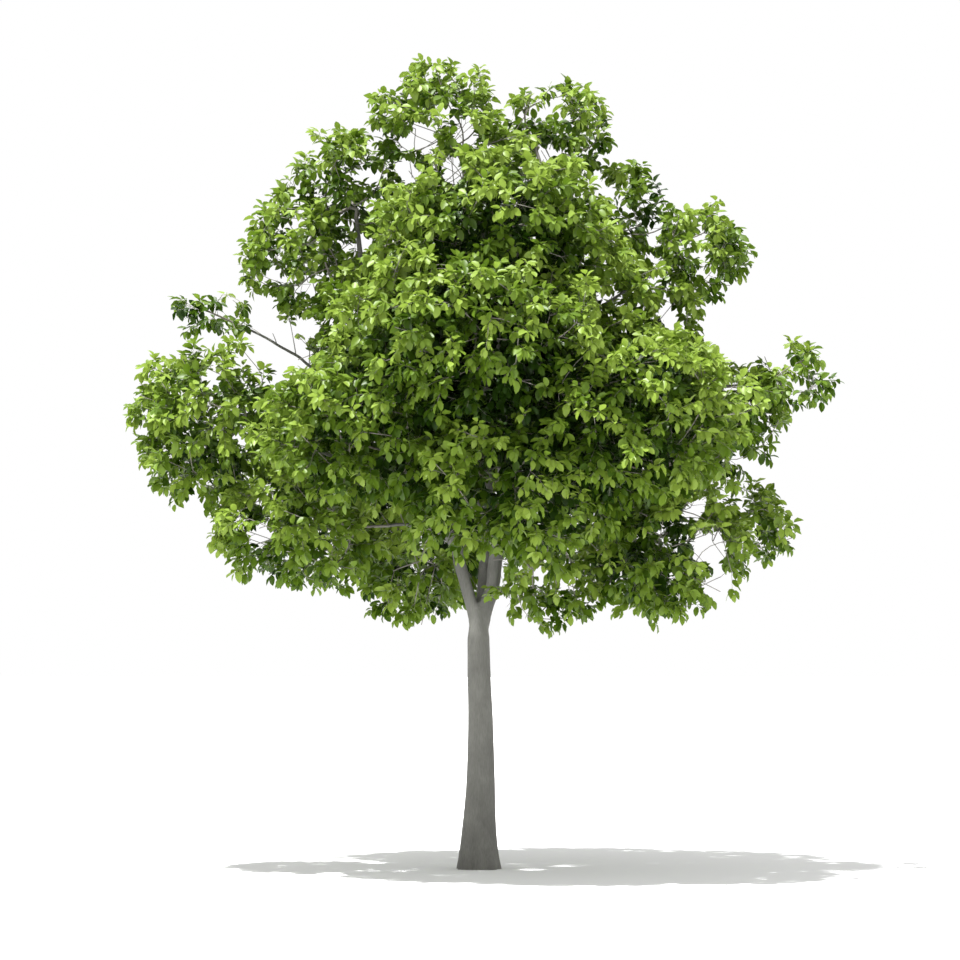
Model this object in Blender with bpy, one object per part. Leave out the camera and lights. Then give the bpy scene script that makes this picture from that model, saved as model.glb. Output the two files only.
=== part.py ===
"""A broadleaf tree with smooth grey bark, a low three-way fork and a wide, lobed crown.

Metres, +Z up. The origin is the middle of the flat cut under the trunk, at ground level. Headings are degrees
round the trunk from +X towards +Y, and -Y is the tree's front.

The trunk forks into three leaders. Boughs leave the leaders, and each bough or leader carries one mass of
foliage: twigs that branch from one stem, with a leaf blade for each spray. Every mass keeps to its own space
in the crown.
"""

import math
from dataclasses import dataclass

import bmesh
import bpy
import numpy as np
from mathutils import Matrix, Vector

# ---------------------------------------------------------------------------- driving dimensions

CLEARANCE = 0.0003  # between pieces that meet
COLLAR = 0.025  # how far a piece runs straight on from the end of the one before

# Trunk: its radius falls evenly with height, and the root flare adds to it near the ground.
TRUNK_RADIUS = 0.108
TRUNK_TAPER = 0.0153  # radius lost for each metre of height
FLARE = 0.055  # added radius at the ground
FLARE_HEIGHT = 0.35
TRUNK_FOOT = 0.03  # height up to which it stands straight, so that its cut is level
TRUNK_BOW = 0.018  # how far the trunk swings towards +X half-way up
TRUNK_TOP = 1.93  # top of the trunk's own wood, between the stubs of the leaders
TRUNK_RINGS = (0.0, TRUNK_FOOT, 0.10, 0.2, 0.35, 0.6, 0.9, 1.2, 1.5, 1.70, 1.82, 1.89)
TRUNK_TOP_RADIUS = 0.055
TRUNK_SIDES = 16

# Leaders: each rises from the heart of the trunk. Its first stretch, up to STUB_HEIGHT, is part of the trunk.
STUB_HEIGHT = 2.08
FORK_HEART = (0.0, 0.0, 1.70)
LEADER_SIDES = 12
LEADER_STEP = 0.24  # between rings
STUB_STEP = 0.10


@dataclass
class Leader:
    path: tuple  # points it passes after FORK_HEART, before the middle of the mass it carries
    radii: tuple  # in the heart of the trunk, and where it enters that mass
    carries: str


LEADERS = {
    "leader_right": Leader(
        path=((0.045, 0.0, 1.90), (0.103, 0.0, 2.09), (0.125, -0.01, 2.28), (0.19, 0.0, 2.62),
              (0.18, 0.01, 3.2), (0.165, 0.0, 3.8), (0.20, 0.0, 4.35), (0.33, 0.02, 4.85)),
        radii=(0.060, 0.018),
        carries="top_right",
    ),
    "leader_left": Leader(
        path=((-0.038, 0.0, 1.90), (-0.093, 0.0, 2.09), (-0.142, 0.0, 2.26), (-0.20, 0.0, 2.44),
              (-0.54, 0.0, 2.92), (-0.72, 0.02, 3.45), (-0.82, 0.05, 4.05)),
        radii=(0.052, 0.016),
        carries="left_crown",
    ),
    "leader_rear": Leader(
        path=((0.018, 0.045, 1.90), (0.03, 0.105, 2.09), (0.05, 0.21, 2.40), (0.08, 0.42, 3.0),
              (0.05, 0.62, 3.6)),
        radii=(0.048, 0.016),
        carries="back_high",
    ),
}

# Boughs: curves from a leader to the middle of a mass, which end where they enter the mass.
BOUGH_SIDES = 6
BOUGH_STEP = 0.26
BOUGH_OF_LEADER = 0.55  # a bough's thickest radius, as a share of the leader's where it leaves
BOUGH_TAPER = 2.0  # but no more than this many times that at its end
BOUGH_TIP = 0.013  # its radius where it enters a mass of the common size
COMMON_SIZE = 0.6
RISE = 0.35  # how far a bough's first stretch follows its leader
SWAY = 0.42  # how far its end runs level and outwards

# Masses: each has an egg-shaped space, as long outwards as its size, wider across and flatter.
ACROSS = 1.18
TALL = 0.86
SPACE_GAP = 0.035  # kept clear on both sides of the border between two spaces, as a share of size


@dataclass
class Mass:
    heading: float  # degrees
    reach: float  # of its middle, from the trunk's line
    height: float
    size: float  # half its length outwards
    leader: str = ""  # that its bough leaves, empty where a leader carries it
    leaves_at: float = 0.0  # height at which the bough leaves the leader
    tall: float = TALL


MASSES = {
    # the crown's outline to the left, from the ground up
    "low_left": Mass(192, 1.34, 2.50, 0.68, "leader_left", 2.46, 0.74),
    "left_reach": Mass(182, 2.02, 3.32, 0.60, "leader_left", 2.74, 1.0),
    "left_arm": Mass(173, 2.02, 4.14, 0.40, "leader_left", 3.20, 0.72),
    "left_shoulder": Mass(178, 1.30, 4.62, 0.50, "leader_left", 3.72, 1.0),
    "left_crown": Mass(176, 0.95, 5.12, 0.50),
    "left_middle": Mass(206, 1.04, 3.98, 0.44, "leader_left", 3.10, 1.0),
    "top_left": Mass(190, 0.34, 5.53, 0.52, "leader_right", 4.10, 1.0),
    # and down again to the right
    "top_right": Mass(4, 0.56, 5.46, 0.52, tall=1.0),
    "right_crown": Mass(8, 1.14, 4.92, 0.46, "leader_right", 3.72, 1.0),
    "right_shoulder": Mass(0, 1.62, 4.58, 0.50, "leader_right", 3.40, 0.84),
    "right_middle": Mass(-8, 1.18, 4.08, 0.50, "leader_right", 3.10, 0.90),
    "right_arm": Mass(0, 2.34, 3.65, 0.40, "leader_right", 2.95, 0.78),
    "right_lobe": Mass(-4, 1.72, 3.36, 0.62, "leader_right", 2.66),
    "right_reach": Mass(6, 1.98, 2.54, 0.50, "leader_right", 2.56, 0.75),
    "low_right": Mass(-14, 1.36, 2.38, 0.66, "leader_right", 2.44, 0.80),
    "left_skirt": Mass(152, 0.56, 2.15, 0.44, "leader_left", 2.54),
    "right_skirt": Mass(-38, 0.66, 2.12, 0.44, "leader_right", 2.36),
    # the front
    "front_low": Mass(-80, 1.25, 2.86, 0.76, "leader_right", 2.50),
    "front_left": Mass(-122, 1.40, 3.26, 0.78, "leader_left", 2.60),
    "front_right": Mass(-50, 1.60, 3.30, 0.80, "leader_right", 2.56),
    "front_mid": Mass(-92, 1.60, 3.85, 0.74, "leader_right", 3.05),
    "front_high": Mass(-82, 0.95, 4.60, 0.76, "leader_right", 3.50),
    "front_crown": Mass(-98, 0.56, 5.06, 0.48, "leader_right", 4.00, 1.0),
    # the back
    "back_low": Mass(108, 1.25, 2.58, 0.74, "leader_rear", 2.44),
    "back_left": Mass(122, 1.55, 3.28, 0.80, "leader_rear", 2.62),
    "back_right": Mass(46, 1.60, 3.38, 0.80, "leader_rear", 2.48),
    "back_mid": Mass(88, 1.74, 3.70, 0.74, "leader_rear", 2.95),
    "back_high": Mass(94, 1.00, 4.56, 0.78),
    "back_crown": Mass(78, 0.62, 5.12, 0.48, "leader_right", 4.20, 1.0),
}

# Twigs and leaf blades. A blade stands for a spray of leaves, so it is larger than one leaf.
STEM_SIDES = 4
STEM_SHARE = 0.55  # how far the stem runs from the edge of its space towards the middle
STEM_STRETCHES = 2
STEM_TAPER = 0.7  # radius at its end, as a share of that at its start
TWIG_SIDES = 3
TWIG_TIP = 0.0065  # radius of its three corners
PIPE = 2.4  # a twig's radius to this power is the sum of those of the twigs it carries
JOINTS = 7  # twig joints and tips in a mass of the common size or larger
SMALL_JOINTS = 6  # and in a smaller one
JOINT_LEVELS = (0.45, 0.90)  # how far out in its space they lie, from 0 in the middle to 1 on the skin
TURN_COST = 0.3  # what a twig that turns back costs, against one that goes straight on
WAY_COST = 0.45  # what each metre back to the bough costs
MOST_BRANCHES = 3
BLADE_SHARE = 0.58  # a blade's length grows by this share of its mass's size,
BLADE_LEAST = 0.14  # from this length
BLADE_WIDTH = 0.68  # of its length
BLADE_THICKNESS = 0.035  # of its length
BLADE_FOLD = 0.10  # how far its sides rise, of its length
BLADE_DROOP = 0.12  # how far its tip falls, of its length
BLADE_CORNERS = 6
BLADE_SHOULDER = 0.25  # how far along it is as wide as it gets, and how far from its tip it narrows again
BLADE_PLACES = (0.35, 0.7, 1.0)  # along each twig
BLADE_ROOT = 0.001  # how far past the twig's middle its foot is sunk
BLADE_INSET = 0.006  # how far short of the twig's tip the last one grows
BLADE_GAP = 0.030  # least distance between two blades, or a blade and a limb
TWIG_GAP = 0.024  # least distance between the middle of a twig and a limb
TWIG_TESTS = np.linspace(0.15, 1, 14)  # the shares of a twig where that is tested
SIDE_ANGLE = 75  # degrees between a twig and the blades at its sides
LOWEST_FACING = -0.3  # how far a blade's face may look down with the underside of its mass
BLADE_SKIN = 1.06  # how far out its outline may reach, from 0 in the middle of its space to 1 on the skin
FACING = 2.0  # how much a blade's face looks out of its mass, against up
BLADE_TURNS = (0, 40, -40, 80, -80, 125, -125)  # degrees it may be turned on its twig to fit

BARK_COLOUR = (0.26, 0.25, 0.22, 1.0)
BARK_ROUGHNESS = 0.85
LEAF_COLOUR = (0.17, 0.30, 0.035, 1.0)
LEAF_ROUGHNESS = 0.5
SMOOTH_ANGLE = 60  # degrees, under which an edge of a limb is shaded smooth

FOLIAGE_SOLVER = "MANIFOLD"  # the exact solver leaves sealed hollows where many blades cross

UP = np.array((0.0, 0.0, 1.0))
PLASTIC = 1.2207440846057596  # the golden ratio's fellow in three dimensions, which spreads points evenly
SEED_STEP = 0.37  # between the starts of two masses' points
TRIES = 60  # points scattered for each one that is wanted
TINY = 1e-9  # keeps a length that is divided by away from zero
WELD = 1e-6


# ---------------------------------------------------------------------------- lines

def unit(vector):
    """The vector, or each row of a list of them, at length 1."""
    return vector / np.maximum(np.linalg.norm(vector, axis=-1, keepdims=True), TINY)


def outwards(heading):
    angle = math.radians(heading)
    return np.array((math.cos(angle), math.sin(angle), 0.0))


def smooth_line(points, per_stretch=12):
    """A Catmull-Rom curve through the points."""
    points = np.array(points, float)
    ends = np.vstack((2 * points[0] - points[1], points, 2 * points[-1] - points[-2]))
    share = np.linspace(0, 1, per_stretch, endpoint=False)[:, None]
    line = []
    for a, b, c, d in zip(ends, ends[1:], ends[2:], ends[3:]):
        line.append(0.5 * (2 * b + (c - a) * share + (2 * a - 5 * b + 4 * c - d) * share**2
                           + (3 * b - a - 3 * c + d) * share**3))
    return np.vstack((*line, points[-1:]))


def bezier(a, b, c, d, count=40):
    t = np.linspace(0, 1, count)[:, None]
    return (1 - t)**3 * a + 3 * t * (1 - t)**2 * b + 3 * t**2 * (1 - t) * c + t**3 * d


def lengths_along(line):
    return np.concatenate(([0.0], np.cumsum(np.linalg.norm(np.diff(line, axis=0), axis=1))))


def evenly(line, step, radii):
    """The line read every step or so, and a radius for each point, from radii[0] evenly down to radii[1]."""
    along = lengths_along(line)
    count = max(3, round(along[-1] / step) + 1)
    at = np.linspace(0, along[-1], count)
    points = np.stack([np.interp(at, along, line[:, axis]) for axis in range(3)], axis=1)
    return points, np.interp(at, (0, along[-1]), radii)


@dataclass
class Limb:
    """A tapering limb along a line."""
    line: np.ndarray
    radii: np.ndarray

    def after(self, before):
        """The same limb, set on the flat end of the one before: clear of that end and square to it."""
        heading = unit(before.line[-1] - before.line[-2])
        start = before.line[-1] + heading * CLEARANCE
        line = np.vstack((start, start + heading * COLLAR, self.line[1:]))
        return Limb(line, np.concatenate(([before.radii[-1]], self.radii)))

    def at_height(self, height):
        """(point, direction, radius) where the limb first reaches the height."""
        index = int(np.argmax(self.line[:, 2] >= height))
        index = max(index, 1)
        low, high = self.line[index - 1], self.line[index]
        share = (height - low[2]) / (high[2] - low[2])
        radius = self.radii[index - 1] + share * (self.radii[index] - self.radii[index - 1])
        return low + share * (high - low), unit(high - low), radius

    def samples(self, step=0.01):
        """Points close together along its middle, each with the radius there, as rows of four."""
        along = lengths_along(self.line)
        at = np.linspace(0, along[-1], max(2, int(along[-1] / step)))
        table = np.column_stack((self.line, self.radii))
        return np.stack([np.interp(at, along, table[:, axis]) for axis in range(4)], axis=1)


# ---------------------------------------------------------------------------- spaces in the crown

class Space:
    """The egg-shaped region that a mass keeps to, less what lies nearer the middle of another."""

    def __init__(self, mass):
        out = outwards(mass.heading)
        across = np.cross(UP, out)
        self.middle = out * mass.reach + UP * mass.height
        self.radii = mass.size * np.array((1.0, ACROSS, mass.tall))
        self.axes = np.stack((out, across, UP))

    def level(self, points):
        """0 in its middle and 1 on its skin."""
        return np.linalg.norm((points - self.middle) @ self.axes.T / self.radii, axis=-1)


SPACES = {name: Space(mass) for name, mass in MASSES.items()}


def in_space(name, points, skin=1.0):
    """Which of the points lie in the mass's own space, clear of its neighbours'."""
    own = SPACES[name].level(points)
    others = np.min([s.level(points) for other, s in SPACES.items() if other != name], axis=0)
    return (own <= skin) & (own + 2 * SPACE_GAP < others)


def scattered(name, count):
    """Points in the outer part of the mass's space: its outermost one if that is clear of the neighbours,
    and the rest spread evenly, by a low-discrepancy sequence."""
    space = SPACES[name]
    start = 0.5 + list(MASSES).index(name) * SEED_STEP
    index = np.arange(1, TRIES * count)[:, None]
    cube = (start + index * PLASTIC ** -np.arange(1.0, 4.0)) % 1
    places = np.vstack(((JOINT_LEVELS[1], 0.0, 0.0), cube * 2 - 1))
    points = space.middle + (places * space.radii) @ space.axes
    level = space.level(points)
    outer = (level > JOINT_LEVELS[0]) & (level < JOINT_LEVELS[1] + TINY)
    return points[outer & in_space(name, points)][:count]


# ---------------------------------------------------------------------------- limbs

def leader_lines():
    """For each leader, the whole line from the heart of the trunk to the middle of its mass."""
    return {name: smooth_line((FORK_HEART, *leader.path, SPACES[leader.carries].middle))
            for name, leader in LEADERS.items()}


def entry(line, name):
    """Index of the line's point where it enters the mass's own space for good."""
    inside = in_space(name, line)
    outside = np.flatnonzero(~inside[:-1])
    return int(outside[-1]) + 1 if len(outside) else 1


def stem_limb(line, carrier):
    """A mass's stem: it goes on from the end of its carrier, part of the way along the line."""
    along = lengths_along(line)
    at = np.linspace(0, STEM_SHARE * along[-1], STEM_STRETCHES + 1)
    points = np.stack([np.interp(at, along, line[:, axis]) for axis in range(3)], axis=1)
    taper = np.linspace(1, STEM_TAPER, STEM_STRETCHES + 1)
    return Limb(points, carrier.radii[-1] * taper).after(carrier)


def shape_leaders():
    """(stubs, leaders, stems): each leader's line in three stretches, in the trunk, free, and in its mass."""
    stubs, leaders, stems = {}, {}, {}
    for name, line in leader_lines().items():
        leader = LEADERS[name]
        top = int(np.argmax(line[:, 2] > STUB_HEIGHT))
        enters = entry(line, leader.carries)
        along = lengths_along(line)
        radius = np.interp(along, (0, along[enters]), leader.radii)
        stub = Limb(*evenly(line[:top + 1], STUB_STEP, (radius[0], radius[top])))
        free = Limb(*evenly(line[top:enters + 1], LEADER_STEP, (radius[top], radius[enters]))).after(stub)
        stubs[name] = stub
        leaders[name] = free
        stems[leader.carries] = stem_limb(line[enters:], free)
    return stubs, leaders, stems


def shape_boughs(leaders):
    """(boughs, stems): for each mass with a bough, the bough and the stem that goes on from it."""
    boughs, stems = {}, {}
    for name, mass in MASSES.items():
        if not mass.leader:
            continue
        start, heading, radius = leaders[mass.leader].at_height(mass.leaves_at)
        end = SPACES[name].middle
        gap = np.linalg.norm(end - start)
        towards = unit(end - start)
        first = unit(heading * RISE + towards * (1 - RISE))
        last = unit(outwards(mass.heading) * SWAY + towards * (1 - SWAY))
        line = bezier(start, start + first * gap / 3, end - last * gap / 3, end)
        enters = entry(line, name)
        tip = BOUGH_TIP * math.sqrt(mass.size / COMMON_SIZE)
        butt = np.clip(radius * BOUGH_OF_LEADER, tip, tip * BOUGH_TAPER)
        boughs[name] = Limb(*evenly(line[:enters + 1], BOUGH_STEP, (butt, tip)))
        stems[name] = stem_limb(line[enters:], boughs[name])
    return boughs, stems


def trunk_limb():
    heights = np.array(TRUNK_RINGS)
    radii = TRUNK_RADIUS - TRUNK_TAPER * heights + FLARE * np.exp(-heights / FLARE_HEIGHT)
    heights = np.append(heights, TRUNK_TOP)
    radii = np.append(radii, TRUNK_TOP_RADIUS)
    way_up = np.clip((heights - TRUNK_FOOT) / (FORK_HEART[2] - TRUNK_FOOT), 0, 1)
    shift = TRUNK_BOW * np.sin(math.pi * way_up)**2
    return Limb(np.stack((shift, heights * 0, heights), axis=1), radii)


# ---------------------------------------------------------------------------- twigs

def grow(root, heading, points, allowed):
    """Joins the points into one branching tree on the root, cheapest joint first. A joint costs its length,
    more if it turns back from the way its twig was going, and a share of the whole way back to the root."""
    nodes, parents, ways, headings, branches = [root], [-1], [0.0], [heading], [0]
    waiting = list(range(len(points)))
    costs = [joint_costs(root, heading, 0.0, points)]
    while waiting:
        table = np.array(costs)[:, waiting]
        at, column = np.unravel_index(np.argmin(table), table.shape)
        if not np.isfinite(table[at, column]):
            break
        chosen = waiting[column]
        point = points[chosen]
        if not allowed(nodes[at], point):
            costs[at][chosen] = np.inf
            continue
        waiting.pop(column)
        nodes.append(point)
        parents.append(int(at))
        ways.append(ways[at] + np.linalg.norm(point - nodes[at]))
        headings.append(unit(point - nodes[at]))
        branches.append(0)
        branches[at] += 1
        if branches[at] >= MOST_BRANCHES:
            costs[at][:] = np.inf
        costs.append(joint_costs(point, headings[-1], ways[-1], points))
    return np.array(nodes), parents


def joint_costs(node, heading, way, points):
    step = points - node
    length = np.linalg.norm(step, axis=1)
    turn = 1 - (step @ heading) / np.maximum(length, TINY)
    return length * (1 + TURN_COST * turn) + WAY_COST * way


def twigs_of(nodes, parents, stem):
    """The tree as separate limbs, the stem first. Each runs from its joint to a tip by the thickest way."""
    count = len(nodes)
    wood = np.zeros(count)  # what each node passes on: the sum of its tips' radii to the power of PIPE
    children = [[] for _ in range(count)]
    for node in range(count - 1, 0, -1):
        children[parents[node]].append(node)
        wood[node] = max(wood[node], TWIG_TIP**PIPE)
        wood[parents[node]] += wood[node]
    limbs = []
    waiting = [[0]]
    while waiting:
        way = waiting.pop(0)
        while children[way[-1]]:
            following = max(children[way[-1]], key=lambda child: wood[child])
            waiting += [[way[-1], child] for child in children[way[-1]] if child != following]
            way.append(following)
        radii = wood[way]**(1 / PIPE)
        limbs.append(Limb(nodes[way], np.append(radii[1], radii[1:])))
    first = limbs[0]
    limbs[0] = Limb(np.vstack((stem.line, first.line[1:])), np.concatenate((stem.radii, first.radii[1:])))
    return limbs


def blade_breadth(ahead):
    """A blade's breadth as a share of its greatest, at a share of the way from its foot to its tip."""
    return np.clip(np.minimum(ahead, 1 - ahead) / BLADE_SHOULDER, 0, 1)


BLADE_OUTLINE = [(ahead, side) for ahead in (BLADE_SHOULDER, 1 - BLADE_SHOULDER) for side in (-1, 1)]
BLADE_OUTLINE += [(1, 0)]
BLADE_GRID = [(ahead, side * blade_breadth(ahead))
              for ahead in np.linspace(0.12, 1, 12) for side in np.linspace(-1, 1, 7)]


@dataclass
class Blade:
    """A leaf blade's foot, its length, and its unit directions: to the tip, across and up from its face."""
    foot: np.ndarray
    size: float
    ahead: np.ndarray
    across: np.ndarray
    up: np.ndarray

    def points(self, shares):
        """Points on it, by shares of its length and of half its width."""
        ahead, across = np.array(shares).T[:, :, None]
        return self.foot + self.size * (ahead * self.ahead + across * BLADE_WIDTH / 2 * self.across)

    def local(self, points):
        """The points' places ahead, across and up from its foot, in metres."""
        return (points - self.foot) @ np.stack((self.ahead, self.across, self.up), axis=1)


class Foliage:
    """One mass: its stem, twigs and leaf blades."""

    def __init__(self, name, stem, obstacles):
        self.name = name
        self.obstacles = obstacles
        heading = unit(stem.line[-1] - stem.line[-2])
        joints = JOINTS if MASSES[name].size >= COMMON_SIZE else SMALL_JOINTS
        nodes, parents = grow(stem.line[-1], heading, scattered(name, joints), self.twig_fits)
        self.stem, *self.twigs = twigs_of(nodes, parents, stem)
        self.blades = self.place_blades(nodes, parents)

    def twig_fits(self, start, end):
        points = start + TWIG_TESTS[:, None] * (end - start)
        if not in_space(self.name, points).all():
            return False
        gaps = np.linalg.norm(points[:, None] - self.obstacles[None, :, :3], axis=2)
        return bool((gaps > self.obstacles[:, 3] + TWIG_GAP).all())

    def place_blades(self, nodes, parents):
        """Blades along every twig, to its sides by turns and on from its tip, each where it fits."""
        size = BLADE_LEAST + BLADE_SHARE * MASSES[self.name].size
        blades = []
        for node in range(1, len(nodes)):
            start, end = nodes[parents[node]], nodes[node]
            for order, share in enumerate(BLADE_PLACES):
                side = (-1) ** (node + order) * SIDE_ANGLE * (share < 1)
                foot = start + share * (end - start) - unit(end - start) * BLADE_INSET
                options = [self.blade(foot, unit(end - start), side + turn, size) for turn in BLADE_TURNS]
                fitting = [blade for blade in options if self.blade_fits(blade, blades)]
                blades += fitting[:1]
        return blades

    def blade(self, foot, along, turn, size):
        """A blade on a twig, turned from its line by so many degrees, its face up and out of the mass."""
        out = unit(foot - SPACES[self.name].middle)
        out[2] = max(out[2], LOWEST_FACING)
        up = unit(UP + out * FACING)
        ahead = unit(along - up * (along @ up))
        across = np.cross(up, ahead)
        angle = math.radians(turn)
        turned = ahead * math.cos(angle) + across * math.sin(angle)
        return Blade(foot - turned * BLADE_ROOT, size, turned, np.cross(up, turned), up)

    def blade_fits(self, blade, others):
        """Whether the blade keeps to the space, and clear of limbs and of the blades already there."""
        if not in_space(self.name, blade.points(BLADE_OUTLINE), BLADE_SKIN).all():
            return False
        grid = blade.points(BLADE_GRID)
        if any(near_blade(other, grid, BLADE_GAP) for other in others):
            return False
        return not near_blade(blade, self.obstacles[:, :3], self.obstacles[:, 3:] + BLADE_GAP)


def near_blade(blade, points, room):
    """Whether any of the points lies on the blade, or within so much room of it."""
    ahead, across, up = np.split(blade.local(points), 3, axis=1)
    share = ahead / blade.size
    half = BLADE_WIDTH / 2 * blade.size * blade_breadth(share)
    beside = (-room < ahead) & (ahead < blade.size + room) & (abs(across) < half + room)
    surface = abs(across) * BLADE_FOLD * 2 / BLADE_WIDTH - share**2 * BLADE_DROOP * blade.size
    return bool((beside & (abs(up - surface) < room)).any())


# ---------------------------------------------------------------------------- solids

def clear_scene():
    for obj in list(bpy.data.objects):
        bpy.data.objects.remove(obj)


def material(name, colour, roughness):
    made = bpy.data.materials.new(name)
    made.use_nodes = True
    shader = made.node_tree.nodes["Principled BSDF"]
    shader.inputs["Base Color"].default_value = colour
    shader.inputs["Roughness"].default_value = roughness
    shader.inputs["Metallic"].default_value = 0.0
    return made


def collection(name):
    made = bpy.data.collections.new(name)
    bpy.context.scene.collection.children.link(made)
    return made


def triangle_section():
    """A flat triangle in a circle of radius 1, the section of a twig."""
    curve = bpy.data.curves.new("section", "CURVE")
    curve.dimensions = "2D"
    spline = curve.splines.new("POLY")
    spline.points.add(TWIG_SIDES - 1)
    for index, point in enumerate(spline.points):
        angle = 2 * math.pi * index / TWIG_SIDES
        point.co = (math.cos(angle), math.sin(angle), 0.0, 1.0)
    spline.use_cyclic_u = True
    section = bpy.data.objects.new("section", curve)
    bpy.context.scene.collection.objects.link(section)
    return section


def tube(name, line, radii, sides, into):
    """A closed mesh tube along the line, with three sides or an even number of them."""
    curve = bpy.data.curves.new(name, "CURVE")
    curve.dimensions = "3D"
    curve.use_fill_caps = True
    section = None
    if sides == TWIG_SIDES:
        section = triangle_section()
        curve.bevel_mode = "OBJECT"
        curve.bevel_object = section
    else:
        curve.bevel_depth = 1.0
        curve.bevel_resolution = (sides - 4) // 2
    spline = curve.splines.new("POLY")
    spline.points.add(len(line) - 1)
    for point, place, radius in zip(spline.points, line, radii):
        point.co = (*place, 1.0)
        point.radius = float(radius)
    swept = bpy.data.objects.new(name + "_line", curve)
    bpy.context.scene.collection.objects.link(swept)
    bpy.context.view_layer.update()
    graph = bpy.context.evaluated_depsgraph_get()
    mesh = bpy.data.meshes.new_from_object(swept.evaluated_get(graph))
    bpy.data.objects.remove(swept)
    if section:
        bpy.data.objects.remove(section)
    bm = bmesh.new()
    bm.from_mesh(mesh)
    bmesh.ops.remove_doubles(bm, verts=bm.verts, dist=WELD)
    bmesh.ops.recalc_face_normals(bm, faces=bm.faces)
    bm.to_mesh(mesh)
    bm.free()
    obj = bpy.data.objects.new(name, mesh)
    into.objects.link(obj)
    return obj


def apply_boolean(obj, operation, other, solver="EXACT"):
    """Applies one Boolean with an object or a collection, and removes what it used."""
    modifier = obj.modifiers.new(operation.lower(), "BOOLEAN")
    modifier.operation = operation
    modifier.solver = solver
    if isinstance(other, bpy.types.Collection):
        modifier.operand_type = "COLLECTION"
        modifier.collection = other
    else:
        modifier.object = other
    bpy.context.view_layer.update()
    graph = bpy.context.evaluated_depsgraph_get()
    mesh = bpy.data.meshes.new_from_object(obj.evaluated_get(graph))
    obj.modifiers.clear()
    obj.data = mesh
    used = list(other.objects) if isinstance(other, bpy.types.Collection) else [other]
    for helper in used:
        bpy.data.objects.remove(helper)
    if isinstance(other, bpy.types.Collection):
        bpy.data.collections.remove(other)


def keep_largest(obj):
    """Keeps the largest closed shell, which drops loose scraps and fills hollows that fusing sealed."""
    bm = bmesh.new()
    bm.from_mesh(obj.data)
    bm.faces.ensure_lookup_table()
    shells, seen = [], set()
    for face in bm.faces:
        if face in seen:
            continue
        shell, todo = [], [face]
        seen.add(face)
        while todo:
            current = todo.pop()
            shell.append(current)
            for edge in current.edges:
                for neighbour in edge.link_faces:
                    if neighbour not in seen:
                        seen.add(neighbour)
                        todo.append(neighbour)
        shells.append(shell)
    best = max(shells, key=shell_volume)
    kept = set(best)
    bmesh.ops.delete(bm, geom=[face for face in bm.faces if face not in kept], context="FACES")
    bm.to_mesh(obj.data)
    bm.free()


def shell_volume(faces):
    volume = 0.0
    for face in faces:
        corners = [vertex.co for vertex in face.verts]
        for second, third in zip(corners[1:], corners[2:]):
            volume += corners[0].dot(second.cross(third)) / 6
    return volume


def finish(obj, look):
    """Gives the object its own copy of the look, and shades it smooth along its length."""
    own = look.copy()
    own.name = f"{obj.name}_{look.name}"
    obj.data.materials.clear()
    obj.data.materials.append(own)
    obj.data.shade_smooth()
    obj.data.set_sharp_from_angle(angle=math.radians(SMOOTH_ANGLE))


def blade_mesh():
    """A leaf blade of length 1, a flat crystal: foot at the origin, tip along +X and face up."""
    bm = bmesh.new()
    bmesh.ops.create_uvsphere(bm, u_segments=BLADE_CORNERS, v_segments=2, radius=1.0)
    for vertex in bm.verts:
        y, x, z = vertex.co * Vector((-1, 1, 1))
        length = (x + 1) / 2
        vertex.co.x = length
        vertex.co.y = BLADE_WIDTH / 2 * y / math.sin(math.pi / 3)
        vertex.co.z = z * BLADE_THICKNESS / 2 + abs(y) * BLADE_FOLD - length**2 * BLADE_DROOP
    mesh = bpy.data.meshes.new("blade")
    bm.to_mesh(mesh)
    bm.free()
    return mesh


def build_trunk(stubs, into, look):
    limb = trunk_limb()
    trunk = tube("trunk", limb.line, limb.radii, TRUNK_SIDES, into)
    parts = collection("trunk_stubs")
    for name, stub in stubs.items():
        tube("stub_" + name, stub.line, stub.radii, LEADER_SIDES, parts)
    apply_boolean(trunk, "UNION", parts)
    finish(trunk, look)


def build_leaders(leaders, into, look):
    for name, limb in leaders.items():
        finish(tube(name, limb.line, limb.radii, LEADER_SIDES, into), look)


def build_boughs(boughs, leaders, into, cutters, look):
    """Each bough starts on its leader's middle, and is cut back clear of the leader's bark."""
    for name, limb in boughs.items():
        bough = tube("bough_" + name, limb.line, limb.radii, BOUGH_SIDES, into)
        leader = leaders[MASSES[name].leader]
        cutter = tube("cutter", leader.line, leader.radii + CLEARANCE, LEADER_SIDES, cutters)
        cutter.hide_render = True
        cutter.display_type = "WIRE"
        apply_boolean(bough, "DIFFERENCE", cutter)
        keep_largest(bough)
        finish(bough, look)


def build_foliage(foliage, mesh, into, look):
    stem = tube(foliage.name, foliage.stem.line, foliage.stem.radii, STEM_SIDES, into)
    parts = collection("parts_of_" + foliage.name)
    for index, twig in enumerate(foliage.twigs):
        tube(f"{foliage.name}_twig_{index}", sunk(twig.line, twig.radii[0]), twig.radii, TWIG_SIDES, parts)
    for index, blade in enumerate(foliage.blades):
        obj = bpy.data.objects.new(f"{foliage.name}_blade_{index}", mesh)
        turned = Matrix(np.stack((blade.ahead, blade.across, blade.up), axis=1).tolist()).to_4x4()
        obj.matrix_world = Matrix.Translation(blade.foot) @ turned @ Matrix.Scale(blade.size, 4)
        parts.objects.link(obj)
    apply_boolean(stem, "UNION", parts, FOLIAGE_SOLVER)
    keep_largest(stem)
    finish(stem, look)


def sunk(line, depth):
    """The line with its first point drawn back into the wood it grows from."""
    moved = line.copy()
    moved[0] -= unit(line[1] - line[0]) * depth
    return moved


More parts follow.
